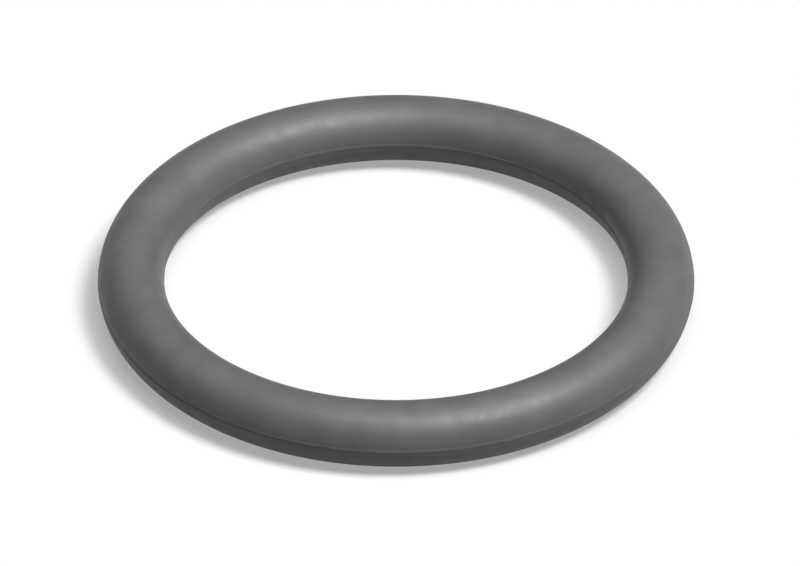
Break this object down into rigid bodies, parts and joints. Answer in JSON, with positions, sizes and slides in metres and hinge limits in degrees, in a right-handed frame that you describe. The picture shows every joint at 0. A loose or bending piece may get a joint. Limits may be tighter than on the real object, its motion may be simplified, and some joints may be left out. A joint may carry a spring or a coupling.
{
  "type": "o-ring",
  "caption": "Round rubber sealing ring with a circular section, moulded in one piece with a fine parting line inside and outside.",
  "frame": {"origin": "centre of the ring, halfway up its section", "axes": "+Z along the axis of the ring; X and Y lie in the parting plane, with no preferred direction in it"},
  "size_m": [0.0482, 0.0482, 0.0054],
  "materials": {
    "rubber": "smooth satin black, compression moulded"
  },
  "bodies": {
    "root": {"o_ring": "rubber"}
  },
  "joints": []
}
